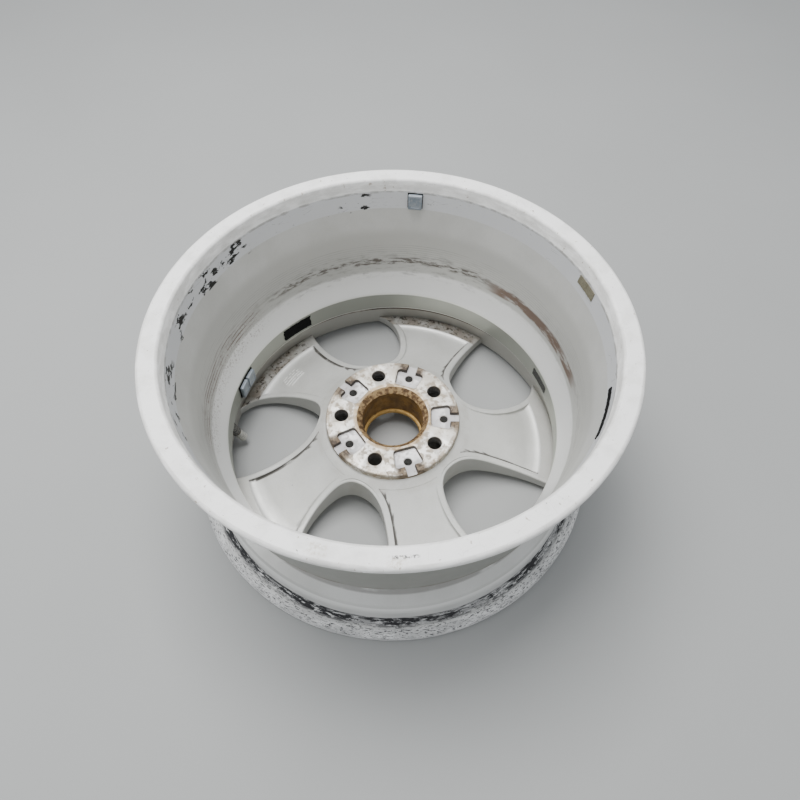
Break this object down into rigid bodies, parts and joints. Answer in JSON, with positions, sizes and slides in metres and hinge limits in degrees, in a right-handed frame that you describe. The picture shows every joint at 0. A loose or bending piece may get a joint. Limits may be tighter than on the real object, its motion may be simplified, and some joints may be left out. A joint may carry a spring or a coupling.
{
  "type": "wheel_rim",
  "caption": "Silver five-spoke 16 inch light-alloy wheel without its tyre, lying face down, with tyre valve, adhesive balance weights and dirty inner barrel",
  "frame": {"origin": "centre of the hub mounting face, on the axle line", "axes": "+Z along the axle towards the inboard side of the wheel, +X to the right, +Y away; the wheel lies on its outboard face"},
  "size_m": [0.4405, 0.4406, 0.2152],
  "materials": {
    "silver_paint": "cast light alloy with satin silver paint, dirty and worn",
    "black_rubber": "dusty",
    "brass": "dull",
    "white_seal": "smooth",
    "spring_steel": "bright",
    "grey_plastic": "dusty",
    "zinc": "dull, oxidised",
    "foam_tape": "torn foam",
    "grey_tape": "glue residue",
    "olive_tape": "glue residue"
  },
  "bodies": {
    "wheel": {"rim_barrel": "silver_paint", "wheel_disc": "silver_paint", "valve_rubber_body": "black_rubber", "valve_stem": "brass", "valve_core_body": "brass", "valve_core_seal": "white_seal", "valve_core_spring": "spring_steel", "weight_single": "zinc", "weight_single_tape": "foam_tape", "weight_pair_first": "zinc", "weight_pair_second": "zinc", "weight_pair_tape": "foam_tape", "tape_remnant_black": "foam_tape", "tape_remnant_grey": "grey_tape", "tape_remnant_olive": "olive_tape", "tape_remnant_edge": "foam_tape"},
    "core_pin": {"valve_core_pin": "brass", "valve_core_cup": "black_rubber"},
    "cap_lift": {"valve_cap_seal": "black_rubber"},
    "cap_turn": {"valve_cap": "grey_plastic"}
  },
  "joints": [
    {"name": "core_pin_press", "type": "slide", "parent": "wheel", "child": "core_pin", "axis": [-0.4225, 0.0074, 0.9063], "range_m": [0, 0.0012], "stiffness_N_per_m": 400, "springref_m": -0.0005, "deforming": ["valve_core_spring"]},
    {"name": "cap_unscrew_lift", "type": "slide", "parent": "wheel", "child": "cap_lift", "axis": [0.4225, -0.0074, -0.9063], "range_m": [0, 0.004]},
    {"name": "cap_unscrew_turn", "type": "hinge", "parent": "cap_lift", "child": "cap_turn", "pos_m": [-0.18947, 0.00331, -0.01655], "axis": [0.4225, -0.0074, -0.9063], "range_deg": [0, 1800]}
  ],
  "couplings": [
    {"joint": "cap_unscrew_lift", "follows": "cap_unscrew_turn", "m_per_rad": 0.00012637}
  ]
}
